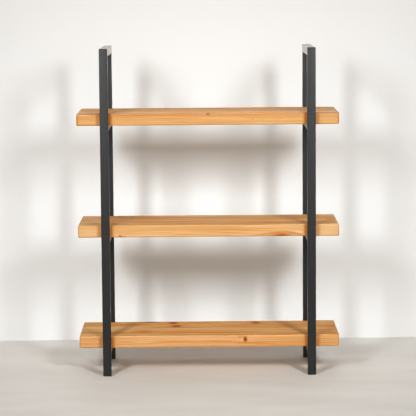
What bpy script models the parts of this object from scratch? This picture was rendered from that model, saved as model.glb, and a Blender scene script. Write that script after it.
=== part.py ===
"""Open bookcase: three thick pine shelves on two welded square-tube side frames.

Units are metres, +Z is up. The origin is on the floor, at the middle of the
footprint. X runs along the shelves, -Y is the front, +Y is the back.
"""
import math

import bmesh
import bpy
from mathutils import Euler

for old in list(bpy.data.objects):
    bpy.data.objects.remove(old, do_unlink=True)

# ----------------------------------------------------------------------------
# Driving dimensions
# ----------------------------------------------------------------------------
OVERALL_HEIGHT = 1.200        # floor to the top of the frames
FRAME_WIDTH = 0.782           # outer face of one side frame to the outer face of the other
FRAME_DEPTH = 0.365           # front face of a front post to the back face of a rear post

POST_SIZE = 0.030             # square section of the posts and the top rails
TUBE_WALL = 0.0015
TUBE_RADIUS = 0.0025          # outside corner radius of every tube
TUBE_INNER_RADIUS = 0.0010
RAIL_WIDTH = 0.030            # shelf rails: a flat-lying rectangular section
RAIL_HEIGHT = 0.020

SHELF_LENGTH = 0.956
SHELF_DEPTH = 0.304
SHELF_THICKNESS = 0.044
SHELF_ARRIS = 0.0035          # rounding along every edge of a board
SHELF_UNDERSIDE = (("lower", 0.100), ("middle", 0.510), ("upper", 0.920))

GAP = 0.0003                  # clearance between two pieces that touch

FOOT_HEIGHT = 0.004           # visible flange of a foot plug
FOOT_CHAMFER = 0.0008
FOOT_STEM = 0.014             # the part that is pushed up into the post
FOOT_STEM_WALL = 0.0022
FOOT_FIN_COUNT = 2

SCREW_LENGTH = 0.045          # below the head
SCREW_SHANK = 0.0045
SCREW_TIP = 0.0060
SCREW_HEAD = 0.0092
SCREW_HEAD_HEIGHT = 0.0028
SCREW_RECESS_WIDTH = 0.0011
SCREW_RECESS_SPAN = 0.0048
SCREW_RECESS_DEPTH = 0.0016
SCREW_HOLE = SCREW_SHANK + 0.0010
SCREW_OFFSET = 0.105          # from the middle of the depth, to the front and to the back

CORNER_STEPS = 5              # facets in a tube's round corner
FOOT_CORNER_STEPS = 3
ROUND_STEPS = 18
ARRIS_STEPS = 4

# ----------------------------------------------------------------------------
# Materials
# ----------------------------------------------------------------------------


def make_material(name, colour, roughness, metallic):
    material = bpy.data.materials.new(name)
    material.use_nodes = True
    shader = material.node_tree.nodes["Principled BSDF"]
    shader.inputs["Base Color"].default_value = (*colour, 1.0)
    shader.inputs["Roughness"].default_value = roughness
    shader.inputs["Metallic"].default_value = metallic
    material.diffuse_color = (*colour, 1.0)
    return material


def powder_coat(name):
    return make_material(name, (0.033, 0.032, 0.031), 0.46, 0.0)


def waxed_pine(name):
    return make_material(name, (0.66, 0.335, 0.125), 0.40, 0.0)


def black_plastic(name):
    return make_material(name, (0.018, 0.018, 0.018), 0.55, 0.0)


def black_zinc(name):
    return make_material(name, (0.060, 0.060, 0.062), 0.38, 1.0)


# ----------------------------------------------------------------------------
# Shape helpers
# ----------------------------------------------------------------------------


def rounded_rectangle(width, height, radius, steps=CORNER_STEPS):
    """Outline of a rectangle with round corners, counter-clockwise, centred."""
    points = []
    for turn, (sx, sy) in enumerate(((1, 1), (-1, 1), (-1, -1), (1, -1))):
        cx = sx * (width / 2 - radius)
        cy = sy * (height / 2 - radius)
        for step in range(steps + 1):
            angle = math.pi / 2 * (turn + step / steps)
            points.append((cx + radius * math.cos(angle), cy + radius * math.sin(angle)))
    return points


def circle(diameter, steps=ROUND_STEPS):
    return [(diameter / 2 * math.cos(2 * math.pi * k / steps),
             diameter / 2 * math.sin(2 * math.pi * k / steps)) for k in range(steps)]


def loft(sections, close=False):
    """A skin through a stack of outlines that all have the same point count.

    Each section is a pair: the outline, and a height or a function of the
    outline's own coordinates that gives the height. A closed stack returns to
    its first section, as a tube's wall does; an open one gets a flat lid on
    its first and its last section.
    """
    mesh = bmesh.new()
    rings = []
    for outline, height in sections:
        level = height if callable(height) else (lambda x, y, h=height: h)
        rings.append([mesh.verts.new((x, y, level(x, y))) for x, y in outline])
    pairs = list(zip(rings, rings[1:]))
    if close:
        pairs.append((rings[-1], rings[0]))
    count = len(rings[0])
    for lower, upper in pairs:
        for k in range(count):
            j = (k + 1) % count
            mesh.faces.new((lower[k], lower[j], upper[j], upper[k]))
    if not close:
        mesh.faces.new(list(reversed(rings[0])))
        mesh.faces.new(rings[-1])
    bmesh.ops.recalc_face_normals(mesh, faces=mesh.faces)
    return mesh


def to_mesh(mesh, name):
    data = bpy.data.meshes.new(name)
    mesh.to_mesh(data)
    mesh.free()
    data.shade_smooth()
    data.set_sharp_from_angle(angle=math.radians(35))
    return data


def add_object(name, data, material, location=(0, 0, 0), rotation=(0, 0, 0), parent=None):
    obj = bpy.data.objects.new(name, data)
    bpy.context.scene.collection.objects.link(obj)
    obj.location = location
    obj.rotation_euler = Euler(rotation)
    if material is not None and not data.materials:
        data.materials.append(material)
    if parent is not None:
        obj.parent = parent
    return obj


def add_empty(name, location):
    empty = bpy.data.objects.new(name, None)
    bpy.context.scene.collection.objects.link(empty)
    empty.location = location
    empty.empty_display_size = 0.05
    return empty


def add_cutter(name, spots, diameter, bottom, top, parent=None):
    """Round cutters standing at each spot, from one height to another."""
    mesh = bmesh.new()
    outline = circle(diameter)
    for x, y in spots:
        rings = [[mesh.verts.new((x + px, y + py, z)) for px, py in outline]
                 for z in (bottom, top)]
        for k in range(len(outline)):
            j = (k + 1) % len(outline)
            mesh.faces.new((rings[0][k], rings[0][j], rings[1][j], rings[1][k]))
        mesh.faces.new(list(reversed(rings[0])))
        mesh.faces.new(rings[1])
    bmesh.ops.recalc_face_normals(mesh, faces=mesh.faces)
    data = bpy.data.meshes.new(name)
    mesh.to_mesh(data)
    mesh.free()
    cutter = bpy.data.objects.new(name, data)
    bpy.context.scene.collection.objects.link(cutter)
    cutter.display_type = "WIRE"
    cutter.hide_render = True
    if parent is not None:
        cutter.parent = parent
    return cutter


def cut(obj, cutter):
    modifier = obj.modifiers.new("cut", "BOOLEAN")
    modifier.operation = "DIFFERENCE"
    modifier.solver = "EXACT"
    modifier.object = cutter


# ----------------------------------------------------------------------------
# Tubes
# ----------------------------------------------------------------------------


def tube_data(name, width, height, lower_end, upper_end):
    """Hollow section along Z, open at both ends, each end cut by a function of y."""
    outside = rounded_rectangle(width, height, TUBE_RADIUS)
    inside = rounded_rectangle(width - 2 * TUBE_WALL, height - 2 * TUBE_WALL, TUBE_INNER_RADIUS)
    mesh = loft(((outside, lower_end), (outside, upper_end),
                 (inside, upper_end), (inside, lower_end)), close=True)
    return to_mesh(mesh, name)


MITRE_GAP = GAP * math.sqrt(2) / 2        # half of the gap, measured along a tube
HALF = POST_SIZE / 2


def post_data(name, outer_side):
    """Upright post: square cut at the foot, 45 degree mitre at the head.

    outer_side is -1 where the post's outer face looks to the front and +1
    where it looks to the back; the mitre is highest at that face.
    """
    foot = FOOT_HEIGHT + GAP

    def head(x, y):
        return OVERALL_HEIGHT - (HALF - outer_side * y) - MITRE_GAP

    return tube_data(name, POST_SIZE, POST_SIZE, lambda x, y: foot, head)


def top_rail_data(name):
    """Top rail along its own Z, mitred at both ends; its top face is at -y."""
    reach = FRAME_DEPTH / 2

    def back_end(x, y):
        return reach - (y + HALF) - MITRE_GAP

    def front_end(x, y):
        return -reach + (y + HALF) + MITRE_GAP

    return tube_data(name, POST_SIZE, POST_SIZE, front_end, back_end)


def shelf_rail_data(name):
    """Rail under one end of a shelf, square cut, from post to post."""
    reach = FRAME_DEPTH / 2 - POST_SIZE - GAP
    return tube_data(name, RAIL_WIDTH, RAIL_HEIGHT, lambda x, y: -reach, lambda x, y: reach)


# ----------------------------------------------------------------------------
# Foot plug: a flange with a ribbed stem, hollow from above
# ----------------------------------------------------------------------------


def foot_data(name):
    stem = POST_SIZE - 2 * TUBE_WALL - 2 * GAP
    bore = stem - 2 * FOOT_STEM_WALL

    def square(size, radius):
        return rounded_rectangle(size, size, radius, FOOT_CORNER_STEPS)

    flange = square(POST_SIZE, TUBE_RADIUS)
    flange_low = square(POST_SIZE - 2 * FOOT_CHAMFER, TUBE_RADIUS - FOOT_CHAMFER)
    fin = square(stem, TUBE_INNER_RADIUS)
    root = square(stem - 0.0014, TUBE_INNER_RADIUS)
    hole = square(bore, TUBE_INNER_RADIUS)

    sections = [(flange_low, 0.0), (flange, FOOT_CHAMFER), (flange, FOOT_HEIGHT), (root, FOOT_HEIGHT)]
    pitch = FOOT_STEM / (FOOT_FIN_COUNT + 1)
    for k in range(1, FOOT_FIN_COUNT + 1):
        z = FOOT_HEIGHT + k * pitch
        sections += [(root, z - 0.0010), (fin, z - 0.0006), (fin, z + 0.0002), (root, z + 0.0012)]
    top = FOOT_HEIGHT + FOOT_STEM
    sections += [(root, top), (hole, top), (hole, FOOT_HEIGHT - 0.0010)]
    return to_mesh(loft(sections), name)


# ----------------------------------------------------------------------------
# Wood screw: pan head with a cross recess, driven upwards
# ----------------------------------------------------------------------------


def screw_data(name):
    """Screw along +Z; its head bears at z = 0 and hangs below it."""
    head = SCREW_HEAD
    depth = SCREW_HEAD_HEIGHT
    sections = [(circle(head * 0.52), -depth), (circle(head * 0.80), -depth * 0.86),
                (circle(head * 0.95), -depth * 0.50), (circle(head), -depth * 0.12),
                (circle(head), 0.0), (circle(SCREW_SHANK), 0.0),
                (circle(SCREW_SHANK), SCREW_LENGTH - SCREW_TIP),
                (circle(SCREW_SHANK * 0.12), SCREW_LENGTH)]
    blank = bpy.data.objects.new(name + "_blank", to_mesh(loft(sections), name + "_blank"))
    bpy.context.scene.collection.objects.link(blank)

    slots = bmesh.new()
    arm = SCREW_RECESS_SPAN / 2
    half = SCREW_RECESS_WIDTH / 2
    outline = ((arm, -half), (arm, half), (half, half), (half, arm), (-half, arm), (-half, half),
               (-arm, half), (-arm, -half), (-half, -half), (-half, -arm), (half, -arm), (half, -half))
    rings = []
    for z, scale in ((-depth - 0.001, 1.0), (-depth + SCREW_RECESS_DEPTH * 0.35, 0.92),
                     (-depth + SCREW_RECESS_DEPTH, 0.62)):
        rings.append([slots.verts.new((x * scale, y * scale, z)) for x, y in outline])
    for lower, upper in zip(rings, rings[1:]):
        for k in range(len(outline)):
            j = (k + 1) % len(outline)
            slots.faces.new((lower[k], lower[j], upper[j], upper[k]))
    slots.faces.new(list(reversed(rings[0])))
    slots.faces.new(rings[-1])
    bmesh.ops.recalc_face_normals(slots, faces=slots.faces)
    recess_data = bpy.data.meshes.new(name + "_recess")
    slots.to_mesh(recess_data)
    slots.free()
    recess = bpy.data.objects.new(name + "_recess", recess_data)
    bpy.context.scene.collection.objects.link(recess)

    cut(blank, recess)
    shaped = blank.evaluated_get(bpy.context.evaluated_depsgraph_get())
    data = bpy.data.meshes.new_from_object(shaped)
    data.name = name
    data.shade_smooth()
    data.set_sharp_from_angle(angle=math.radians(35))
    bpy.data.objects.remove(blank, do_unlink=True)
    bpy.data.objects.remove(recess, do_unlink=True)
    return data


# ----------------------------------------------------------------------------
# Shelf board
# ----------------------------------------------------------------------------


def board_data(name):
    mesh = bmesh.new()
    bmesh.ops.create_cube(mesh, size=1.0)
    bmesh.ops.scale(mesh, vec=(SHELF_LENGTH, SHELF_DEPTH, SHELF_THICKNESS), verts=mesh.verts)
    bmesh.ops.translate(mesh, vec=(0, 0, SHELF_THICKNESS / 2), verts=mesh.verts)
    data = bpy.data.meshes.new(name)
    mesh.to_mesh(data)
    mesh.free()
    data.shade_smooth()
    return data


# ----------------------------------------------------------------------------
# Assembly
# ----------------------------------------------------------------------------

bookcase = add_empty("bookcase", (0, 0, 0))
POST_Y = FRAME_DEPTH / 2 - POST_SIZE / 2
FRAME_X = FRAME_WIDTH / 2 - POST_SIZE / 2
ALONG_Y = (-math.pi / 2, 0, 0)            # turns a tube's own Z to the back
SCREW_SPOTS_Y = (("front", -SCREW_OFFSET), ("rear", SCREW_OFFSET))

coat = {part: powder_coat("powder_coat_" + part) for part in ("post", "top_rail", "shelf_rail")}
front_post_data = post_data("front_post", -1)
rear_post_data = post_data("rear_post", 1)
head_rail_data = top_rail_data("top_rail")
plug_data = foot_data("foot_plug")
plug_material = black_plastic("foot_plastic")
wood_screw_data = screw_data("wood_screw")
screw_material = black_zinc("screw_black_zinc")

for side, sign in (("left", -1), ("right", 1)):
    frame = add_empty(side + "_frame", (sign * FRAME_X, 0, 0))
    frame.parent = bookcase

    add_object("front_post_" + side, front_post_data, coat["post"], (0, -POST_Y, 0), parent=frame)
    add_object("rear_post_" + side, rear_post_data, coat["post"], (0, POST_Y, 0), parent=frame)
    add_object("top_rail_" + side, head_rail_data, coat["top_rail"],
               (0, 0, OVERALL_HEIGHT - HALF), ALONG_Y, parent=frame)
    add_object("foot_plug_front_" + side, plug_data, plug_material, (0, -POST_Y, 0), parent=frame)
    add_object("foot_plug_rear_" + side, plug_data, plug_material, (0, POST_Y, 0), parent=frame)

    for level, underside in SHELF_UNDERSIDE:
        rail_top = underside - GAP
        rail_bottom = rail_top - RAIL_HEIGHT
        rail = add_object("shelf_rail_%s_%s" % (level, side),
                          shelf_rail_data("shelf_rail_%s_%s" % (level, side)), coat["shelf_rail"],
                          (0, 0, rail_top - RAIL_HEIGHT / 2), ALONG_Y, parent=frame)
        holes = add_cutter("rail_holes_%s_%s" % (level, side),
                           [(0, y) for _, y in SCREW_SPOTS_Y], SCREW_HOLE,
                           rail_bottom - 0.005, rail_top + 0.005, parent=frame)
        cut(rail, holes)
        for end, y in SCREW_SPOTS_Y:
            add_object("wood_screw_%s_%s_%s" % (level, side, end), wood_screw_data, screw_material,
                       (0, y, rail_bottom - GAP), parent=frame)

for level, underside in SHELF_UNDERSIDE:
    board = add_object(level + "_shelf", board_data(level + "_shelf"),
                       waxed_pine("pine_" + level), (0, 0, underside), parent=bookcase)
    arris = board.modifiers.new("arris", "BEVEL")
    arris.width = SHELF_ARRIS
    arris.segments = ARRIS_STEPS
    arris.limit_method = "ANGLE"
    arris.angle_limit = math.radians(40)
    spots = [(sign * FRAME_X, y) for sign in (-1, 1) for _, y in SCREW_SPOTS_Y]
    reach = SCREW_LENGTH - GAP - RAIL_HEIGHT - GAP + 0.0015
    pilots = add_cutter("pilot_holes_" + level, spots, SCREW_HOLE, underside - 0.005,
                        underside + reach, parent=bookcase)
    cut(board, pilots)

bpy.context.view_layer.update()
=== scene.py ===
import math

import bmesh
import bpy
import numpy as np
from mathutils import Matrix, Vector


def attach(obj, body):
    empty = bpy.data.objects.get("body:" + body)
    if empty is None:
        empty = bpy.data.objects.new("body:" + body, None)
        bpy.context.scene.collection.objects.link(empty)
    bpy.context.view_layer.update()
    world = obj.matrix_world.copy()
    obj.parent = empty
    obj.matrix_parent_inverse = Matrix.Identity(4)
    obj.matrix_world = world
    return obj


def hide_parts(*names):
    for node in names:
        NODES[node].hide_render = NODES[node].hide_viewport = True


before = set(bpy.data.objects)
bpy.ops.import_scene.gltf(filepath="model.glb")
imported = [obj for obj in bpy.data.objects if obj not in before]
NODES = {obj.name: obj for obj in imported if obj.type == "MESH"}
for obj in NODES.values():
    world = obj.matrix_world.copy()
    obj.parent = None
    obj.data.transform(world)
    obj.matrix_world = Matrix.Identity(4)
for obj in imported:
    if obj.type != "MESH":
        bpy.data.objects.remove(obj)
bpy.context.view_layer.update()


SCENE = bpy.context.scene

# ----------------------------------------------------------------------------
# The model's own sizes, in metres
# ----------------------------------------------------------------------------
POST = 0.030
POST_X = 0.376
POST_Y = 0.1675
TOP = 1.200
RAIL_HEIGHT = 0.020
RAIL_GAP = 0.0003
SHELF_LEVELS = {"lower": 0.100, "middle": 0.510, "upper": 0.920}
SHELF_PITCH = 0.410
SHELF_SIZE = (0.956, 0.304, 0.044)

# ----------------------------------------------------------------------------
# Node arithmetic
# ----------------------------------------------------------------------------


class Val:
    """A socket that can be added, multiplied and so on, making nodes as it goes."""

    def __init__(self, tree, socket):
        self.tree, self.socket = tree, socket

    def _feed(self, target, value):
        if isinstance(value, Val):
            self.tree.links.new(value.socket, target)
        else:
            target.default_value = value

    def math(self, operation, *others, clamp=False):
        node = self.tree.nodes.new("ShaderNodeMath")
        node.operation = operation
        node.use_clamp = clamp
        self.tree.links.new(self.socket, node.inputs[0])
        for k, other in enumerate(others):
            self._feed(node.inputs[k + 1], other)
        return Val(self.tree, node.outputs[0])

    def __add__(self, other): return self.math("ADD", other)
    def __radd__(self, other): return self.math("ADD", other)
    def __sub__(self, other): return self.math("SUBTRACT", other)
    def __rsub__(self, other): return self.math("MULTIPLY", -1.0).math("ADD", other)
    def __mul__(self, other): return self.math("MULTIPLY", other)
    def __rmul__(self, other): return self.math("MULTIPLY", other)
    def __truediv__(self, other): return self.math("DIVIDE", other)
    def __neg__(self): return self.math("MULTIPLY", -1.0)
    def abs(self): return self.math("ABSOLUTE")
    def floor(self): return self.math("FLOOR")
    def fract(self): return self.math("FRACT")
    def sqrt(self): return self.math("SQRT")
    def exp(self): return self.math("EXPONENT")
    def sin(self): return self.math("SINE")
    def power(self, other): return self.math("POWER", other)
    def least(self, other): return self.math("MINIMUM", other)
    def most(self, other): return self.math("MAXIMUM", other)
    def clamp(self): return self.math("ADD", 0.0, clamp=True)

    def step(self, low, high, to_low=0.0, to_high=1.0):
        """Smooth ramp from to_low at low to to_high at high."""
        node = self.tree.nodes.new("ShaderNodeMapRange")
        node.interpolation_type = "SMOOTHSTEP"
        self.tree.links.new(self.socket, node.inputs["Value"])
        node.inputs["From Min"].default_value = low
        node.inputs["From Max"].default_value = high
        node.inputs["To Min"].default_value = to_low
        node.inputs["To Max"].default_value = to_high
        return Val(self.tree, node.outputs["Result"])


class Paint:
    """A material's node tree, with short names for the nodes used here."""

    def __init__(self, name):
        self.material = bpy.data.materials.new(name)
        self.material.use_nodes = True
        self.tree = self.material.node_tree
        self.shader = self.tree.nodes["Principled BSDF"]
        coordinate = self.tree.nodes.new("ShaderNodeTexCoord")
        split = self.tree.nodes.new("ShaderNodeSeparateXYZ")
        self.tree.links.new(coordinate.outputs["Object"], split.inputs[0])
        self.x, self.y, self.z = (Val(self.tree, s) for s in split.outputs)

    def vector(self, x, y, z):
        node = self.tree.nodes.new("ShaderNodeCombineXYZ")
        for target, value in zip(node.inputs, (x, y, z)):
            if isinstance(value, Val):
                self.tree.links.new(value.socket, target)
            else:
                target.default_value = value
        return Val(self.tree, node.outputs[0])

    def noise(self, x, y, z, scale=1.0, detail=2.0, roughness=0.5, distortion=0.0):
        """Smooth noise, about 0 to 1, over a point that is already stretched."""
        node = self.tree.nodes.new("ShaderNodeTexNoise")
        node.noise_dimensions = "3D"
        self.tree.links.new(self.vector(x, y, z).socket, node.inputs["Vector"])
        node.inputs["Scale"].default_value = scale
        node.inputs["Detail"].default_value = detail
        node.inputs["Roughness"].default_value = roughness
        node.inputs["Distortion"].default_value = distortion
        return Val(self.tree, node.outputs[0])

    def cells(self, x, y, z, scale=1.0, randomness=1.0):
        node = self.tree.nodes.new("ShaderNodeTexVoronoi")
        node.voronoi_dimensions = "3D"
        self.tree.links.new(self.vector(x, y, z).socket, node.inputs["Vector"])
        node.inputs["Scale"].default_value = scale
        node.inputs["Randomness"].default_value = randomness
        return Val(self.tree, node.outputs["Distance"])

    def random(self, value, seed=0.0):
        node = self.tree.nodes.new("ShaderNodeTexWhiteNoise")
        node.noise_dimensions = "1D"
        self.tree.links.new((value + seed).socket, node.inputs["W"])
        return Val(self.tree, node.outputs["Value"])

    def mix(self, fac, a, b, blend="MIX"):
        node = self.tree.nodes.new("ShaderNodeMix")
        node.data_type = "RGBA"
        node.blend_type = blend
        node.clamp_factor = True
        for target, value in ((node.inputs[0], fac), (node.inputs[6], a), (node.inputs[7], b)):
            if isinstance(value, Val):
                self.tree.links.new(value.socket, target)
            elif isinstance(value, (int, float)):
                target.default_value = value
            else:
                target.default_value = (*value, 1.0)
        return Val(self.tree, node.outputs[2])

    def normal(self):
        node = self.tree.nodes.new("ShaderNodeNewGeometry")
        split = self.tree.nodes.new("ShaderNodeSeparateXYZ")
        self.tree.links.new(node.outputs["Normal"], split.inputs[0])
        return tuple(Val(self.tree, s) for s in split.outputs)

    def bump(self, height, distance, strength=1.0):
        node = self.tree.nodes.new("ShaderNodeBump")
        node.inputs["Strength"].default_value = strength
        node.inputs["Distance"].default_value = distance
        self.tree.links.new(height.socket, node.inputs["Height"])
        self.tree.links.new(node.outputs["Normal"], self.shader.inputs["Normal"])

    def set(self, **values):
        for key, value in values.items():
            target = self.shader.inputs[key.replace("_", " ")]
            if isinstance(value, Val):
                self.tree.links.new(value.socket, target)
            elif isinstance(value, tuple):
                target.default_value = (*value, 1.0)
            else:
                target.default_value = value


# ----------------------------------------------------------------------------
# Pine: growth rings as solid texture, cut by the faces of the board
# ----------------------------------------------------------------------------


def pine(name, underside, seed, staves, swells, knots, marks, tone, face_gain, edge_gain, gloss):
    """Growth rings of glued staves, cut by the board's faces, with the board's own knots and marks.

    staves: (left edge in y, pith y, pith z above the underside, ring width), front to back.
    swells: (axis, x, other, half length, half width, rings) where the grain bulges.
    knots: (axis, x, other, half length, half width, darkness, low, high).
    marks: (axis, x, other, half length, half width, slope, kind, strength), on the surface only; some of them are
    painted shade or painted highlights.
    Axis "z" stands upright in the board at (x, y); axis "y" lies across it, at (x, height above
    the underside). face_gain and edge_gain tint the wide faces and the long narrow edges. They
    are fitted under the lights below, so part of them stands for light and not for colour in
    the wood. gloss is how much the wax reflects."""
    p = Paint(name)
    x, y = p.x, p.y
    z = p.z - underside
    nx, ny, nz = p.normal()
    narrow = ny.abs().step(0.50, 0.95)
    end = nx.abs().step(0.55, 0.95)

    # slow wander of the grain along the board, and a finer one
    wander_y = (p.noise(x * 1.5, y * 3.0 + seed, z * 3.0, detail=1.0) - 0.5) * 0.020
    wander_z = (p.noise(x * 1.3 + 7.3, y * 3.0, z * 3.0 + seed, detail=1.0) - 0.5) * 0.024
    ripple = (p.noise(x * 6.0, y * 26.0, z * 26.0 + seed, detail=2.0) - 0.5) * 0.0040

    ring = None
    stave_id = None
    for k, (edge, pith_y, pith_z, width) in enumerate(staves):
        dy = y + wander_y - pith_y
        dz = z + wander_z - pith_z
        here = (dy * dy + dz * dz).sqrt() / width
        if ring is None:
            ring = here
            stave_id = x * 0.0
        else:
            past = y.math("GREATER_THAN", edge)
            ring = ring + (here - ring) * past
            stave_id = stave_id + past
    ring = ring + ripple / 0.0050

    for axis, sx, other, half_length, half_width, rings in swells:
        dx = (x - sx) / half_length
        across = ((y if axis == "z" else z) - other) / half_width
        ring = ring + (-(dx * dx + across * across)).exp() * rings

    # grain bends round each knot
    dark_knot = None
    rim_knot = None
    for axis, kx, other, half_length, half_width, darkness, low, high in knots:
        dx = (x - kx) / half_length
        across = ((y if axis == "z" else z) - other) / half_width
        along = z if axis == "z" else y
        inside = along.step(low - 0.004, low + 0.004) * along.step(high - 0.004, high + 0.004, 1.0, 0.0)
        wobble = (p.noise(x * 160.0, y * 160.0, z * 160.0 + seed * 3.1, detail=1.0) - 0.5) * 0.5
        ring = ring + (-(dx * dx * 0.05 + across * across * 0.26)).exp() * inside * (half_width / 0.0036)
        reach = (dx * dx + across * across).sqrt() + wobble
        core = reach.step(0.55, 1.15, 1.0, 0.0) * inside * darkness
        rim = reach.step(0.75, 1.02) * reach.step(1.08, 1.55, 1.0, 0.0) * inside * darkness
        dark_knot = core if dark_knot is None else dark_knot.most(core)
        rim_knot = rim if rim_knot is None else rim_knot.most(rim)

    # uneven ring widths, then the light early wood and the dark late wood of each ring
    ring = ring + (p.noise(ring * 0.45, stave_id * 9.7 + seed, 0.0, detail=1.0) - 0.5) * 1.9
    index = ring.floor()
    phase = ring.fract()
    strength = p.random(index + stave_id * 31.0, seed) * 0.80 + 0.20
    late = phase.step(0.30, 0.84) * phase.step(0.88, 1.0, 1.0, 0.0) * strength
    group = p.noise(ring * 0.23, x * 1.2, stave_id * 9.1 + seed, detail=2.0, roughness=0.55)

    # broad bands, long streaks and fine fibres, all drawn out along the board
    band = p.noise(x * 1.1, y * 30.0 + seed, z * 56.0, detail=3.0, roughness=0.55)
    streak = p.noise(x * 4.2, y * 88.0, z * 150.0 + seed, detail=2.0, roughness=0.55)
    fine = p.noise(x * 8.0 + seed, y * 330.0, z * 360.0, detail=2.0, roughness=0.6)
    fibre = p.noise(x * 26.0 + seed, y * 1500.0, z * 1500.0, detail=2.0, roughness=0.6)
    cloud = p.noise(x * 2.4 + seed, y * 9.0, z * 9.0, detail=2.0)
    pore = p.noise(x * 60.0, y * 2600.0 + seed, z * 2600.0, detail=0.0).step(0.66, 0.74)

    colour = p.mix(group.step(0.38, 0.62), tone["light"], tone["base"])
    colour = p.mix(band.step(0.46, 0.62) * 0.70, colour, tone["streak"])
    colour = p.mix(streak.step(0.52, 0.68) * 0.55, colour, tone["streak"])
    sweep = p.noise(x * 2.4 + seed, y * 44.0, z * 18.0 + seed, detail=2.0, roughness=0.6)
    wide = 1.0 - narrow
    colour = p.mix(sweep.step(0.47, 0.58) * wide * 0.90, colour, tone["deep"])
    colour = p.mix(sweep.step(0.46, 0.34) * wide * 0.55, colour, tone["pale"])
    colour = p.mix(streak.step(0.46, 0.32) * 0.45, colour, tone["pale"])
    colour = p.mix(late * 0.72, colour, tone["deep"])
    colour = p.mix(cloud.step(0.42, 0.75) * 0.25, colour, tone["cloud"])
    colour = p.mix(fine.step(0.50, 0.72) * 0.30, colour, tone["deep"])
    colour = p.mix((fibre - 0.38) * 0.38, colour, tone["streak"])
    colour = p.mix(pore * 0.22, colour, tone["deep"])
    stave_tone = p.random(stave_id, seed + 4.7)
    colour = p.mix(stave_tone * 0.22, colour, tone["cloud"])

    # the board's own streaks and stains, and the painted shade and painted highlights among its marks
    grain = fine * 0.5 + streak * 0.9 + 0.30
    for axis, mx, other, half_length, half_width, slope, kind, amount in marks:
        dx = x - mx
        across = ((y if axis == "z" else z) - other - dx * slope) / half_width
        surface = z.step(0.028, 0.034) if axis == "z" else y.step(-0.146, -0.138, 1.0, 0.0)
        dx = dx / half_length
        blot = (-(dx * dx + across * across)).exp() * surface * amount
        colour = p.mix((blot * grain).clamp(), colour, tone[kind])

    # end grain takes more of the wax and shows it darker
    speck = p.noise(x * 300.0, y * 900.0, z * 900.0, detail=2.0)
    colour = p.mix(end * (speck * 0.45 + 0.20), colour, tone["deep"])

    # glue lines between the staves, hair-thin
    glue = None
    for edge, *_ in staves[1:]:
        line = (y - edge).abs().step(0.00012, 0.00042, 1.0, 0.0)
        glue = line if glue is None else glue.most(line)
    colour = p.mix(glue * 0.45, colour, tone["deep"])

    knot_ring = p.noise(x * 420.0, y * 420.0, z * 420.0, detail=2.0) * 0.5 + 0.5
    colour = p.mix(dark_knot, colour, p.mix(knot_ring, tone["knot"], tone["knot_heart"]))
    colour = p.mix(rim_knot * 0.55, colour, tone["rim"])

    # arrises: pale along the top, partly rubbed wear and partly a painted highlight; painted shade along the bottom
    # arris, and darker along the ends
    rub = p.noise(x * 30.0, y * 30.0, z * 30.0 + seed, detail=3.0)
    by_edge = y.abs().step(0.1480, 0.1512)
    worn_and_highlit = z.step(0.0375, 0.0415) * by_edge * (rub * 0.6 + 0.2)
    bottom_shade_and_end_rim = z.step(0.0012, 0.0052, 1.0, 0.0) * by_edge
    bottom_shade_and_end_rim = bottom_shade_and_end_rim.most(x.abs().step(0.4720, 0.4760))
    colour = p.mix(worn_and_highlit * 0.20, colour, tone["pale"])
    colour = p.mix(bottom_shade_and_end_rim * (rub * 0.5 + 0.26), colour, tone["deep"])
    colour = p.mix(1.0, colour, p.mix(narrow, face_gain, edge_gain), "MULTIPLY")

    patch = p.noise(x * 5.0, y * 11.0, z * 11.0 + seed * 2.0, detail=3.0)
    smudge = p.noise(x * 17.0 + seed, y * 23.0, z * 23.0, detail=4.0, roughness=0.6)
    rough = (0.50 + narrow * 0.14 + late * -0.05 + (patch - 0.5) * 0.14 + (smudge - 0.5) * 0.10 + end * 0.22
             + fibre * 0.04 - worn_and_highlit * 0.06)
    height = (late * 0.34 + fibre * 0.30 + streak * 0.22 - pore * 0.35 + rub * 0.10
              + end * speck * 0.5 + dark_knot * 0.35 - rim_knot * 0.45 - glue * 0.6)
    p.set(Base_Color=colour, Roughness=rough.clamp(), Specular_IOR_Level=gloss)
    p.bump(height, 0.00028, 0.75)
    return p.material


# ----------------------------------------------------------------------------
# Powder coat, plastic, screws
# ----------------------------------------------------------------------------


def powder_coat(name):
    p = Paint(name)
    x, y, z = p.x, p.y, p.z
    peel = p.noise(x, y, z, scale=620.0, detail=2.0, roughness=0.55)
    grit = p.noise(x, y, z, scale=2600.0, detail=1.0)
    cloud = p.noise(x * 1.0, y * 1.0, z * 0.35, scale=14.0, detail=3.0)
    handled = p.noise(x, y, z, scale=46.0, detail=4.0, roughness=0.62)

    # the coat is thinner along a tube's corners, and rubbed there in places
    off_x = (x.abs() - POST_X).abs()
    off_y = (y.abs() - POST_Y).abs()
    post = (off_x + off_y).step(POST * 0.93, POST * 0.978)
    rubbed = post * handled.step(0.50, 0.72)

    colour = p.mix(cloud.step(0.30, 0.72), (0.0058, 0.0056, 0.0057), (0.0084, 0.0082, 0.0083))
    colour = p.mix(grit.step(0.62, 0.80) * 0.30, colour, (0.030, 0.030, 0.030))
    colour = p.mix(rubbed * 0.30, colour, (0.060, 0.058, 0.055))
    # a little dust where a face looks up
    nx, ny, nz = p.normal()
    dust = nz.step(0.75, 0.98) * p.noise(x, y, z, scale=90.0, detail=4.0, roughness=0.65)
    colour = p.mix(dust * 0.16, colour, (0.32, 0.30, 0.28))

    rough = 0.40 + (handled - 0.5) * 0.10 + (cloud - 0.5) * 0.06 - rubbed * 0.06 + dust * 0.15
    p.set(Base_Color=colour, Roughness=rough.clamp(), Specular_IOR_Level=0.18, Metallic=0.0,
          Coat_Weight=0.63, Coat_Roughness=0.28, Coat_IOR=1.5)
    p.bump(peel * 0.75 + grit * 0.25, 0.00004, 0.5)
    return p.material


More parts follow.
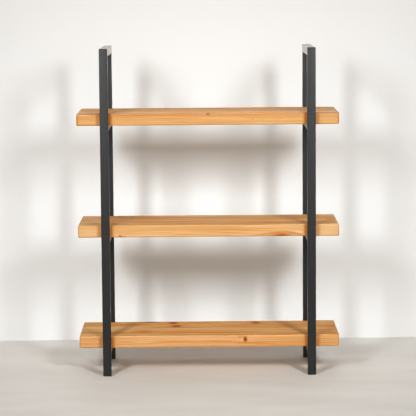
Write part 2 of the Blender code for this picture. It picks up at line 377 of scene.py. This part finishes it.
def foot_plastic(name):
    p = Paint(name)
    x, y, z = p.x, p.y, p.z
    grain = p.noise(x, y, z, scale=1900.0, detail=2.0)
    scuff = p.noise(x * 60.0, y * 60.0, z * 420.0, detail=4.0, roughness=0.65)
    low = z.step(0.0002, 0.0024, 1.0, 0.0)
    colour = p.mix(scuff.step(0.48, 0.72) * (low * 0.55 + 0.12), (0.0135, 0.0135, 0.0138), (0.070, 0.068, 0.066))
    rough = 0.52 + (grain - 0.5) * 0.16 + low * scuff * 0.22
    p.set(Base_Color=colour, Roughness=rough.clamp(), Specular_IOR_Level=0.46)
    p.bump(grain * 0.6 + scuff * 0.4, 0.00012, 0.6)
    return p.material


def screw_zinc(name):
    p = Paint(name)
    x, y, z = p.x, p.y, p.z
    stain = p.noise(x, y, z, scale=420.0, detail=3.0, roughness=0.6)
    turned = p.noise(x * 2200.0, y * 2200.0, z * 380.0, detail=1.0)
    colour = p.mix(stain.step(0.35, 0.70), (0.052, 0.052, 0.055), (0.105, 0.100, 0.094))
    rough = 0.30 + stain * 0.18
    p.set(Base_Color=colour, Roughness=rough.clamp(), Metallic=1.0)
    p.bump(turned * 0.5 + stain * 0.5, 0.00006, 0.5)
    return p.material


# ----------------------------------------------------------------------------
# Mesh helpers
# ----------------------------------------------------------------------------


def smooth_group():
    """Welds a carried-over solid's facets and shades its round corners smooth."""
    tree = bpy.data.node_groups.new("round_corners", "GeometryNodeTree")
    tree.interface.new_socket("Geometry", in_out="INPUT", socket_type="NodeSocketGeometry")
    tree.interface.new_socket("Geometry", in_out="OUTPUT", socket_type="NodeSocketGeometry")
    start = tree.nodes.new("NodeGroupInput")
    end = tree.nodes.new("NodeGroupOutput")
    weld = tree.nodes.new("GeometryNodeMergeByDistance")
    weld.inputs["Distance"].default_value = 0.000004
    faces = tree.nodes.new("GeometryNodeSetShadeSmooth")
    faces.domain = "FACE"
    faces.inputs["Shade Smooth"].default_value = True
    edges = tree.nodes.new("GeometryNodeSetShadeSmooth")
    edges.domain = "EDGE"
    edges.inputs["Shade Smooth"].default_value = False
    angle = tree.nodes.new("GeometryNodeInputMeshEdgeAngle")
    wide = tree.nodes.new("FunctionNodeCompare")
    wide.data_type = "FLOAT"
    wide.operation = "GREATER_THAN"
    wide.inputs[1].default_value = math.radians(38)
    link = tree.links.new
    link(start.outputs[0], weld.inputs["Geometry"])
    link(weld.outputs["Geometry"], faces.inputs["Geometry"])
    link(faces.outputs["Geometry"], edges.inputs["Geometry"])
    link(angle.outputs["Unsigned Angle"], wide.inputs[0])
    link(wide.outputs[0], edges.inputs["Selection"])
    link(edges.outputs["Geometry"], end.inputs[0])
    return tree


def new_piece(name, mesh, material, smooth=True, angle=35.0):
    data = bpy.data.meshes.new(name)
    mesh.to_mesh(data)
    mesh.free()
    if smooth:
        data.shade_smooth()
        data.set_sharp_from_angle(angle=math.radians(angle))
    data.materials.append(material)
    obj = bpy.data.objects.new(name, data)
    SCENE.collection.objects.link(obj)
    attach(obj, "root")
    return obj


def value_noise(seed):
    """Repeatable smooth noise in one to three dimensions, -1 to 1."""
    table = np.random.RandomState(seed).uniform(-1.0, 1.0, (32, 32, 32))

    def sample(px, py, pz):
        px, py, pz = (np.asarray(v, float) for v in (px, py, pz))
        ix, iy, iz = np.floor(px).astype(int), np.floor(py).astype(int), np.floor(pz).astype(int)
        fx, fy, fz = px - ix, py - iy, pz - iz
        fx, fy, fz = (f * f * (3 - 2 * f) for f in (fx, fy, fz))
        total = 0.0
        for a in (0, 1):
            for b in (0, 1):
                for c in (0, 1):
                    weight = ((fx if a else 1 - fx) * (fy if b else 1 - fy) * (fz if c else 1 - fz))
                    total = total + weight * table[(ix + a) % 32, (iy + b) % 32, (iz + c) % 32]
        return total

    return sample


def axis_stops(half, radius, spacing, arc_steps):
    """Coordinates from -half to half: close together in the rounded zones."""
    arc = [radius * math.tan(math.pi / 4 * k / arc_steps) for k in range(arc_steps + 1)]
    low = sorted(set(round(-half + radius - v, 7) for v in arc))
    count = max(1, int(round((2 * half - 2 * radius) / spacing)))
    middle = [-half + radius + (2 * half - 2 * radius) * k / count for k in range(1, count)]
    high = [-v for v in reversed(low)]
    return low + middle + high


def board(name, level, material, seed, dents):
    """A sawn and sanded board: eased, slightly uneven arrises, faint hand-planed
    waves in its faces, and a few small knocks. It stays inside its CAD box."""
    length, depth, thick = SHELF_SIZE
    underside = SHELF_LEVELS[level]
    half = np.array([length / 2, depth / 2, thick / 2])
    radius = 0.0036
    stops = [axis_stops(half[0], radius, 0.0050, 5), axis_stops(half[1], radius, 0.0080, 5),
             axis_stops(half[2], radius, 0.0060, 5)]
    sizes = [len(s) for s in stops]
    index = {}
    points = []

    def vertex(i, j, k):
        key = (i, j, k)
        if key not in index:
            index[key] = len(points)
            points.append((stops[0][i], stops[1][j], stops[2][k]))
        return index[key]

    faces = []
    nx, ny, nz = sizes
    for k, flip in ((0, True), (nz - 1, False)):
        for i in range(nx - 1):
            for j in range(ny - 1):
                f = (vertex(i, j, k), vertex(i + 1, j, k), vertex(i + 1, j + 1, k), vertex(i, j + 1, k))
                faces.append(f[::-1] if flip else f)
    for j, flip in ((0, False), (ny - 1, True)):
        for i in range(nx - 1):
            for k in range(nz - 1):
                f = (vertex(i, j, k), vertex(i + 1, j, k), vertex(i + 1, j, k + 1), vertex(i, j, k + 1))
                faces.append(f[::-1] if flip else f)
    for i, flip in ((0, True), (nx - 1, False)):
        for j in range(ny - 1):
            for k in range(nz - 1):
                f = (vertex(i, j, k), vertex(i, j + 1, k), vertex(i, j + 1, k + 1), vertex(i, j, k + 1))
                faces.append(f[::-1] if flip else f)

    q = np.array(points)
    wave = value_noise(seed)
    # the arris radius drifts a little along the board, as it does under a sanding block
    drift = 1.0 + 0.22 * wave(q[:, 0] * 9.0 + 3.0, np.sign(q[:, 1]) * 2.0 + 5.0, np.sign(q[:, 2]) * 2.0 + 8.0)
    r = (radius * np.clip(drift, 0.72, 1.28))[:, None]
    inner = half[None, :] - r
    core = np.clip(q, -inner, inner)
    out = q - core
    reach = np.linalg.norm(out, axis=1)[:, None]
    normal = out / np.maximum(reach, 1e-9)
    surface = core + normal * r

    # planed faces: long shallow waves, always inwards
    face_wave = (wave(q[:, 0] * 6.0, q[:, 1] * 16.0 + 11.0, q[:, 2] * 16.0) * 0.00010
                 + wave(q[:, 0] * 22.0 + 9.0, q[:, 1] * 40.0, q[:, 2] * 40.0) * 0.00004)
    inwards = 0.00016 + face_wave
    for kx, ky, kz, size, deep in dents:
        spot = np.array([kx, ky, kz])
        distance = np.linalg.norm((surface - spot) / np.array([1.5, 1.0, 1.0]), axis=1)
        inwards = inwards + deep * np.exp(-(distance / size) ** 2)
    surface = surface - normal * inwards[:, None]
    surface[:, 2] += underside + thick / 2

    mesh = bmesh.new()
    verts = [mesh.verts.new(v) for v in surface]
    for f in faces:
        mesh.faces.new([verts[v] for v in f])
    bmesh.ops.recalc_face_normals(mesh, faces=mesh.faces)
    piece = new_piece(name, mesh, material, angle=60.0)
    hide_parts(level + "_shelf")
    return piece


def bead(name, start, end, into, out, radius, material, ripples, seed):
    """A fillet weld from start to end, in the corner between two faces. into and out
    are the unit directions of the two faces, away from the corner."""
    start, end = Vector(start), Vector(end)
    into, out = Vector(into), Vector(out)
    along = end - start
    length = along.length
    along.normalize()
    rows = ripples * 6 + 1
    steps = 9
    shake = np.random.RandomState(seed)
    phase = shake.uniform(0, 6.28)
    mesh = bmesh.new()
    rings = []
    for k in range(rows):
        t = k / (rows - 1)
        ripple = abs(math.sin(math.pi * ripples * t))
        sway = 0.06 * math.sin(7.0 * t + phase) + 0.04 * math.sin(17.0 * t + 2.0 * phase)
        edge = min(1.0, min(t, 1 - t) * length / (radius * 0.8))
        size = radius * (0.86 + 0.14 * ripple + sway) * (0.35 + 0.65 * math.sqrt(max(edge, 0.0)))
        lean = 0.16 * radius * (ripple - 0.5)
        centre = start + along * (length * t + lean)
        ring = []
        for s in range(steps + 1):
            a = math.pi / 2 * s / steps
            bulge = 0.80 + 0.10 * math.sin(2 * a)
            ring.append(mesh.verts.new(centre + into * (size * bulge * math.cos(a)) * 1.0
                                       + out * (size * bulge * math.sin(a)) * 1.0))
        ring.append(mesh.verts.new(centre - (into + out) * 0.0002))
        rings.append(ring)
    count = len(rings[0])
    for a, b in zip(rings, rings[1:]):
        for s in range(count):
            n = (s + 1) % count
            mesh.faces.new((a[s], a[n], b[n], b[s]))
    mesh.faces.new(list(reversed(rings[0])))
    mesh.faces.new(rings[-1])
    bmesh.ops.recalc_face_normals(mesh, faces=mesh.faces)
    return new_piece(name, mesh, material, angle=70.0)


def seam(name, outline, back, front, material):
    """A ground-flush weld: fills the hairline between two tube ends. outline is a list
    of points in the joint's plane; back and front shift it to its two faces."""
    mesh = bmesh.new()
    a = [mesh.verts.new(Vector(v) + Vector(back)) for v in outline]
    b = [mesh.verts.new(Vector(v) + Vector(front)) for v in outline]
    count = len(outline)
    for k in range(count):
        j = (k + 1) % count
        mesh.faces.new((a[k], a[j], b[j], b[k]))
    mesh.faces.new(list(reversed(a)))
    mesh.faces.new(b)
    bmesh.ops.recalc_face_normals(mesh, faces=mesh.faces)
    return new_piece(name, mesh, material, angle=40.0)


def rounded_outline(width, height, radius, steps=6):
    points = []
    for turn, (sx, sy) in enumerate(((1, 1), (-1, 1), (-1, -1), (1, -1))):
        for step in range(steps + 1):
            angle = math.pi / 2 * (turn + step / steps)
            points.append((sx * (width / 2 - radius) + radius * math.cos(angle),
                           sy * (height / 2 - radius) + radius * math.sin(angle)))
    return points


# ----------------------------------------------------------------------------
# Materials
# ----------------------------------------------------------------------------

HONEY = {
    "pale": (0.740, 0.500, 0.270),
    "light": (0.670, 0.420, 0.200),
    "base": (0.630, 0.365, 0.150),
    "streak": (0.570, 0.285, 0.092),
    "deep": (0.510, 0.215, 0.052),
    "cloud": (0.590, 0.320, 0.120),
    "orange": (0.520, 0.200, 0.040),
    "dark": (0.310, 0.070, 0.008),
    "amber": (0.620, 0.245, 0.060),
    # pale tone for painted highlights and a painted reflection on the upper board
    "painted_highlight": (0.760, 0.620, 0.540),
    "knot": (0.400, 0.082, 0.008),
    "knot_heart": (0.230, 0.036, 0.004),
    "rim": (0.230, 0.044, 0.006),
}

coat = powder_coat("powder_coat_charcoal")
plastic = foot_plastic("foot_plug_plastic")
zinc = screw_zinc("screw_black_zinc")

# painted shade: the shadow beside each post is more orange than these lights make it,
# so the front edges are tinted there. It isn't a mark in the wood
BESIDE_POSTS = tuple(("y", sx * at, 0.022, 0.0070, 0.060, 0.0, "amber", amount)
                     for sx in (-1, 1) for at, amount in ((0.3535, 1.10), (0.3990, 0.50)))

pine_lower = pine(
    "pine_lower_board", 0.100, 3.7,
    ((-0.152, -0.118, -0.030, 0.0055), (-0.048, 0.020, 0.085, 0.0050), (0.056, 0.092, -0.045, 0.0058)),
    (("y", 0.020, 0.030, 0.120, 0.014, 1.2), ("y", -0.300, 0.026, 0.080, 0.012, 0.9)),
    (("z", -0.137, 0.117, 0.0135, 0.0150, 1.0, 0.0, 0.05),
     ("z", -0.124, 0.050, 0.0150, 0.0155, 1.0, 0.0, 0.05),
     ("z", 0.178, 0.112, 0.0140, 0.0145, 0.95, 0.0, 0.05),
     ("y", 0.132, 0.0285, 0.0062, 0.0085, 0.95, -0.16, -0.075),
     ("z", -0.300, -0.210, 0.0050, 0.0050, 0.10, 0.0, 0.05)),
    (("z", -0.220, 0.143, 0.028, 0.012, 0.0, "dark", 1.50),
     ("z", -0.137, 0.117, 0.034, 0.026, 0.0, "orange", 0.80),
     ("z", -0.124, 0.050, 0.038, 0.026, 0.0, "orange", 0.80),
     ("z", 0.178, 0.112, 0.038, 0.026, 0.0, "orange", 0.70),
     ("z", -0.240, -0.062, 0.018, 0.018, 0.0, "dark", 0.60),
     ("z", -0.245, -0.062, 0.034, 0.026, 0.0, "orange", 0.80),
     ("z", 0.050, -0.085, 0.130, 0.020, 0.0, "orange", 0.85),
     ("z", -0.300, 0.085, 0.050, 0.018, 0.0, "orange", 0.80),
     ("y", -0.310, 0.0230, 0.032, 0.0024, 0.0, "orange", 0.75),
     ("y", -0.110, 0.0225, 0.110, 0.0026, 0.0, "orange", 0.65),
     ("y", 0.035, 0.0225, 0.060, 0.0028, 0.0, "orange", 0.90),
     ("y", 0.165, 0.0150, 0.110, 0.0026, -0.055, "orange", 0.85),
     ("y", 0.118, 0.0405, 0.009, 0.0020, 0.0, "dark", 0.60),
     ("y", 0.112, 0.0350, 0.004, 0.0030, 0.0, "orange", 0.60)) + BESIDE_POSTS,
    HONEY, (1.063, 1.136, 1.165), (0.808, 0.839, 0.962), 0.04)
pine_middle = pine(
    "pine_middle_board", 0.510, 11.9,
    ((-0.152, -0.095, 0.110, 0.0056), (-0.050, -0.010, -0.050, 0.0052), (0.052, 0.120, 0.095, 0.0054)),
    (("y", 0.262, -0.002, 0.058, 0.021, 4.2), ("y", 0.020, 0.018, 0.140, 0.012, 0.8)),
    (("z", -0.338, 0.132, 0.0180, 0.0110, 0.60, 0.0, 0.05),
     ("z", 0.000, 0.052, 0.0100, 0.0100, 0.30, 0.0, 0.05),
     ("y", -0.324, 0.0050, 0.0044, 0.0048, 0.48, -0.16, -0.09),
     ("z", 0.446, 0.020, 0.0090, 0.0080, 0.45, 0.0, 0.05)),
    (("z", -0.345, -0.100, 0.014, 0.016, 0.0, "dark", 0.55),
     ("z", 0.220, -0.090, 0.130, 0.022, 0.0, "orange", 0.90),
     ("z", 0.330, 0.050, 0.034, 0.022, 0.5, "orange", 0.80),
     ("z", -0.330, 0.105, 0.034, 0.020, 0.0, "dark", 0.50),
     ("z", -0.200, 0.068, 0.160, 0.013, 0.0, "deep", 0.95),
     ("z", -0.110, -0.004, 0.180, 0.013, 0.0, "pale", 0.60),
     ("z", 0.085, 0.086, 0.060, 0.012, 0.0, "deep", 0.80),
     ("z", 0.150, 0.118, 0.070, 0.012, 0.0, "pale", 0.70),
     ("z", -0.020, -0.112, 0.110, 0.010, 0.0, "deep", 0.60),
     ("z", -0.240, 0.105, 0.120, 0.026, 0.0, "orange", 0.75),
     ("z", 0.050, 0.070, 0.120, 0.020, 0.0, "orange", 0.50),
     ("z", -0.440, -0.020, 0.035, 0.022, 0.0, "pale", 0.55),
     ("y", -0.318, 0.0030, 0.014, 0.0034, 0.0, "orange", 1.20),
     ("y", 0.268, 0.0080, 0.040, 0.0070, 0.0, "orange", 0.85),
     ("y", 0.268, 0.0034, 0.026, 0.0040, 0.0, "dark", 1.30),
     ("y", 0.256, 0.0150, 0.034, 0.0030, 0.0, "orange", 0.90),
     ("y", 0.330, 0.0165, 0.032, 0.0044, -0.12, "pale", 0.60),
     ("y", 0.318, 0.0105, 0.040, 0.0030, -0.20, "orange", 1.10),
     ("y", 0.205, 0.0085, 0.045, 0.0026, 0.09, "orange", 0.90),
     ("y", 0.120, 0.0240, 0.110, 0.0026, -0.030, "orange", 0.60),
     ("y", -0.080, 0.0090, 0.060, 0.0022, 0.0, "orange", 0.50),
     ("y", 0.060, 0.0160, 0.080, 0.0024, -0.060, "orange", 0.55),
     ("y", 0.060, 0.0045, 0.060, 0.0022, 0.0, "orange", 0.55),
     ("y", 0.430, 0.0230, 0.050, 0.0220, 0.0, "pale", 0.30),
     ("y", -0.430, 0.0230, 0.050, 0.0220, 0.0, "pale", 0.30)) + BESIDE_POSTS,
    HONEY, (1.024, 1.110, 1.158), (0.777, 0.836, 0.957), 0.10)
pine_upper = pine(
    "pine_upper_board", 0.920, 23.3,
    ((-0.152, -0.100, -0.060, 0.0053), (-0.049, 0.000, 0.100, 0.0056), (0.054, 0.100, -0.040, 0.0052)),
    (("y", -0.100, 0.024, 0.160, 0.012, 0.8),),
    (("z", 0.001, -0.1470, 0.0065, 0.0080, 0.70, 0.036, 0.05),
     ("y", 0.163, 0.0210, 0.0030, 0.0026, 0.30, -0.16, -0.11),
     ("z", -0.155, 0.120, 0.0100, 0.0120, 0.40, 0.0, 0.05),
     ("z", 0.232, 0.120, 0.0090, 0.0120, 0.35, 0.0, 0.05)),
    (("y", -0.220, 0.0375, 0.150, 0.0024, 0.0, "orange", 1.10),
     ("y", 0.000, 0.0400, 0.600, 0.0050, 0.0, "orange", 0.65),
     ("y", 0.150, 0.0330, 0.240, 0.0020, 0.0, "orange", 0.45),
     ("y", 0.415, 0.0416, 0.080, 0.0019, 0.0, "dark", 1.60),
     ("y", -0.430, 0.0418, 0.060, 0.0019, 0.0, "dark", 0.95),
     ("y", -0.4760, 0.0220, 0.0045, 0.040, 0.0, "orange", 1.10),
     ("y", 0.4760, 0.0220, 0.0040, 0.040, 0.0, "orange", 1.00),
     # painted highlights on the left top arris and on the top's right end, and a painted reflection across the front
     # half of the top
     ("y", -0.455, 0.0388, 0.034, 0.0014, 0.0, "painted_highlight", 0.70),
     ("z", 0.000, -0.090, 0.900, 0.050, 0.0, "painted_highlight", 0.34),
     ("z", 0.420, -0.122, 0.120, 0.024, 0.0, "painted_highlight", 0.72),
     ("z", -0.040, 0.082, 0.360, 0.018, 0.0, "orange", 0.95),
     ("z", -0.310, 0.076, 0.036, 0.014, 0.0, "dark", 0.55),
     ("z", -0.155, 0.088, 0.014, 0.012, 0.0, "dark", 0.60),
     ("z", 0.228, 0.088, 0.014, 0.012, 0.0, "dark", 0.60)) + BESIDE_POSTS,
    HONEY, (1.050, 1.074, 0.990), (0.751, 0.758, 0.750), 0.10)

# ----------------------------------------------------------------------------
# Boards, in place of the plain CAD boards
# ----------------------------------------------------------------------------

board("lower_board_pine", "lower", pine_lower, 5,
      ((-0.205, -0.1505, 0.0205, 0.0042, 0.0006), (0.302, -0.151, -0.0205, 0.0036, 0.0005),
       (0.4765, -0.094, 0.0205, 0.0050, 0.0007), (0.052, 0.151, 0.0205, 0.0044, 0.0006)))
board("middle_board_pine", "middle", pine_middle, 8,
      ((0.088, -0.1505, 0.0205, 0.0038, 0.0005), (-0.4765, 0.042, 0.0205, 0.0048, 0.0007),
       (-0.260, -0.151, -0.0205, 0.0040, 0.0005), (0.401, 0.151, 0.0205, 0.0040, 0.0006)))
board("upper_board_pine", "upper", pine_upper, 13,
      ((-0.052, -0.1505, 0.0205, 0.0036, 0.0005), (0.4765, 0.100, 0.0205, 0.0044, 0.0006),
       (0.233, -0.151, -0.0205, 0.0040, 0.0004), (-0.4765, -0.120, 0.0205, 0.0040, 0.0006)))

# ----------------------------------------------------------------------------
# Carried-over CAD nodes: finish and smooth corners
# ----------------------------------------------------------------------------

rounding = smooth_group()
for name, node in NODES.items():
    if name.endswith("_shelf"):
        continue
    if name.startswith("foot_plug"):
        finish = plastic
    elif name.startswith("wood_screw"):
        finish = zinc
    else:
        finish = coat
    node.data.materials.clear()
    node.data.materials.append(finish)
    modifier = node.modifiers.new("round_corners", "NODES")
    modifier.node_group = rounding

# ----------------------------------------------------------------------------
# Welds
# ----------------------------------------------------------------------------

SECTION = rounded_outline(POST - 0.00006, POST - 0.00006, 0.0025)
RAIL_SECTION = rounded_outline(POST - 0.00006, RAIL_HEIGHT - 0.00006, 0.0025)
count = 0
for side, sx in (("left", -1), ("right", 1)):
    cx = sx * POST_X
    for end, sy in (("front", -1), ("rear", 1)):
        cy = sy * POST_Y
        # mitre at the head of the post: the joint's plane slopes at 45 degrees
        outline = [(cx + px, cy + 0.99 * py, TOP - POST / 2 + 0.99 * sy * py) for px, py in SECTION]
        half = 0.00013
        seam("weld_mitre_%s_%s" % (end, side), outline,
             (0, half * sy, -half), (0, -half * sy, half), coat)
        # fillet inside the top corner, under the top rail
        inner = cy - sy * POST / 2
        bead("weld_head_%s_%s" % (end, side), (cx - 0.0115, inner, TOP - POST), (cx + 0.0115, inner, TOP - POST),
             (0, -sy, 0), (0, 0, -1), 0.0030, coat, 8, 100 + count)
        count += 1
        for level, underside in SHELF_LEVELS.items():
            middle = underside - RAIL_GAP - RAIL_HEIGHT / 2
            outline = [(cx + px, inner, middle + pz) for px, pz in RAIL_SECTION]
            seam("weld_rail_%s_%s_%s" % (level, end, side), outline,
                 (0, 0.00001 * sy, 0), (0, -0.00029 * sy, 0), coat)
            bottom = middle - RAIL_HEIGHT / 2
            bead("weld_fillet_%s_%s_%s" % (level, end, side), (cx - 0.0115, inner, bottom),
                 (cx + 0.0115, inner, bottom), (0, -sy, 0), (0, 0, -1), 0.0028, coat, 8, 200 + count)
            count += 1

# ----------------------------------------------------------------------------
# Stage: pale floor and a plain wall behind, both open from their backs
# ----------------------------------------------------------------------------


def open_from_behind(paint):
    """Lets the plane be looked through from its back, for views from there."""
    tree = paint.tree
    geometry = tree.nodes.new("ShaderNodeNewGeometry")
    clear = tree.nodes.new("ShaderNodeBsdfTransparent")
    blend = tree.nodes.new("ShaderNodeMixShader")
    output = next(n for n in tree.nodes if n.type == "OUTPUT_MATERIAL")
    tree.links.new(geometry.outputs["Backfacing"], blend.inputs[0])
    tree.links.new(paint.shader.outputs[0], blend.inputs[1])
    tree.links.new(clear.outputs[0], blend.inputs[2])
    tree.links.new(blend.outputs[0], output.inputs["Surface"])


def stage_plane(name, corners, material):
    mesh = bmesh.new()
    mesh.faces.new([mesh.verts.new(c) for c in corners])
    data = bpy.data.meshes.new(name)
    mesh.to_mesh(data)
    mesh.free()
    data.materials.append(material)
    obj = bpy.data.objects.new(name, data)
    SCENE.collection.objects.link(obj)
    return obj


WALL_Y = 0.560
floor_paint = Paint("floor_pale")
mottle = floor_paint.noise(floor_paint.x * 2.0, floor_paint.y * 5.0, 0.0, detail=3.0)
floor_paint.set(Base_Color=floor_paint.mix(mottle.step(0.3, 0.7), (0.685, 0.655, 0.618), (0.735, 0.709, 0.672)),
                Roughness=0.62)
open_from_behind(floor_paint)
stage_plane("floor", ((-9, -9, -0.0001), (9, -9, -0.0001), (9, 9, -0.0001), (-9, 9, -0.0001)),
            floor_paint.material)

wall_paint = Paint("wall_white")
wall_paint.set(Base_Color=(0.540, 0.540, 0.540), Roughness=0.8,
               Emission_Color=(1.0, 0.86, 0.70), Emission_Strength=0.15)
open_from_behind(wall_paint)
stage_plane("backdrop", ((-9, WALL_Y, -0.0001), (9, WALL_Y, -0.0001), (9, WALL_Y, 6.0), (-9, WALL_Y, 6.0)),
            wall_paint.material)

# ----------------------------------------------------------------------------
# Light: two soft boxes in front, to the left and the right, and even surroundings
# ----------------------------------------------------------------------------


def soft_box(name, place, target, size, power, spread, colour):
    light = bpy.data.lights.new(name, "AREA")
    light.shape = "RECTANGLE"
    light.size, light.size_y = size
    light.energy = power
    light.spread = math.radians(spread)
    light.color = colour
    obj = bpy.data.objects.new(name, light)
    SCENE.collection.objects.link(obj)
    obj.visible_camera = False
    obj.location = place
    obj.rotation_euler = (Vector(target) - obj.location).to_track_quat("-Z", "Y").to_euler()
    return obj


KEY_POWER = 17.0
FILL_POWER = 2.3
TOP_POWER = 4.8
FAR_POWER = 154.0
WASH_POWER = 26.0
GLARE_POWER = 5.5
ROOM_LIGHT = 0.040
BACKDROP_SEEN, BACKDROP_MIRRORED = 0.72, 1.20
COOL, WARM, PLAIN = (0.945, 1.0, 1.045), (1.06, 0.91, 0.74), (1.0, 1.0, 1.0)
for side, x in (("left", -1.0), ("right", 1.0)):
    soft_box("key_" + side, (x * 1.62, -3.80, 2.18), (x * 0.40, 0.0, 0.62), (0.55, 1.00), KEY_POWER, 60, COOL)
    soft_box("fill_" + side, (x * 2.40, -1.90, 1.40), (0.0, 0.0, 0.55), (1.6, 2.2), FILL_POWER, 120, WARM)
soft_box("top", (0.0, -1.5, 3.4), (0.0, 0.0, 0.5), (3.0, 2.0), TOP_POWER, 100, WARM)
# a broad light far in front and the lit floor before it, which the frames mirror
soft_box("far_side", (0.0, -9.0, 1.75), (0.0, 0.0, 1.0), (6.5, 2.1), FAR_POWER, 180, PLAIN)
soft_box("floor_wash", (0.0, -3.9, 2.2), (0.0, -3.899, 0.0), (4.0, 2.6), WASH_POWER, 60, PLAIN)
# a glare high behind the object, seen only in what is glossy: it whitens the top rails
glare = soft_box("wall_glare", (0.0, WALL_Y - 0.015, 1.52), (0.0, -1.0, 1.52), (3.6, 0.90), GLARE_POWER, 180, WARM)
glare.visible_diffuse = False

# Surroundings: dim and warm as a light, pale and even where they are seen or mirrored
world = bpy.data.worlds.new("studio")
SCENE.world = world
world.use_nodes = True
room = world.node_tree
background = room.nodes["Background"]
path = room.nodes.new("ShaderNodeLightPath")
seen = room.nodes.new("ShaderNodeMath")
mirrored = room.nodes.new("ShaderNodeMath")
for node, source, amount in ((seen, "Is Camera Ray", BACKDROP_SEEN), (mirrored, "Is Glossy Ray", BACKDROP_MIRRORED)):
    node.operation = "MULTIPLY_ADD"
    room.links.new(path.outputs[source], node.inputs[0])
    node.inputs[1].default_value = amount
seen.inputs[2].default_value = ROOM_LIGHT
room.links.new(seen.outputs[0], mirrored.inputs[2])
room.links.new(mirrored.outputs[0], background.inputs["Strength"])
shown = room.nodes.new("ShaderNodeMath")
shown.operation = "MAXIMUM"
room.links.new(path.outputs["Is Camera Ray"], shown.inputs[0])
room.links.new(path.outputs["Is Glossy Ray"], shown.inputs[1])
tint = room.nodes.new("ShaderNodeMix")
tint.data_type = "RGBA"
room.links.new(shown.outputs[0], tint.inputs[0])
tint.inputs[6].default_value = (1.0, 0.88, 0.74, 1.0)
tint.inputs[7].default_value = (1.0, 0.98, 0.955, 1.0)
room.links.new(tint.outputs[2], background.inputs["Color"])

# ----------------------------------------------------------------------------
# Camera: fitted to the photograph's edges for a 416 x 416 frame
# ----------------------------------------------------------------------------
FOCAL_PX = 1962.18
EYE = Vector((-0.02192, -7.08897 - 0.1825, 1.44669))
YAW, PITCH, ROLL = -0.00287, 0.1161, -0.0079

right = Vector((math.cos(YAW), math.sin(YAW), 0.0))
ahead = Vector((-math.sin(YAW), math.cos(YAW), 0.0))
up_axis = Vector((0.0, 0.0, 1.0))
look = ahead * math.cos(PITCH) - up_axis * math.sin(PITCH)
lift = ahead * math.sin(PITCH) + up_axis * math.cos(PITCH)
cam_x = right * math.cos(ROLL) + lift * math.sin(ROLL)
cam_y = lift * math.cos(ROLL) - right * math.sin(ROLL)
camera_data = bpy.data.cameras.new("camera")
camera_data.sensor_fit = "HORIZONTAL"
camera_data.sensor_width = 36.0
camera_data.lens = FOCAL_PX / 416.0 * 36.0
camera_data.clip_end = 60.0
camera = bpy.data.objects.new("camera", camera_data)
SCENE.collection.objects.link(camera)
camera.matrix_world = Matrix((
    (cam_x.x, cam_y.x, -look.x, EYE.x),
    (cam_x.y, cam_y.y, -look.y, EYE.y),
    (cam_x.z, cam_y.z, -look.z, EYE.z),
    (0.0, 0.0, 0.0, 1.0)))
SCENE.camera = camera

SCENE.view_settings.view_transform = "Standard"
SCENE.view_settings.look = "None"
SCENE.view_settings.exposure = 0.0
SCENE.view_settings.gamma = 0.80

bpy.context.view_layer.update()
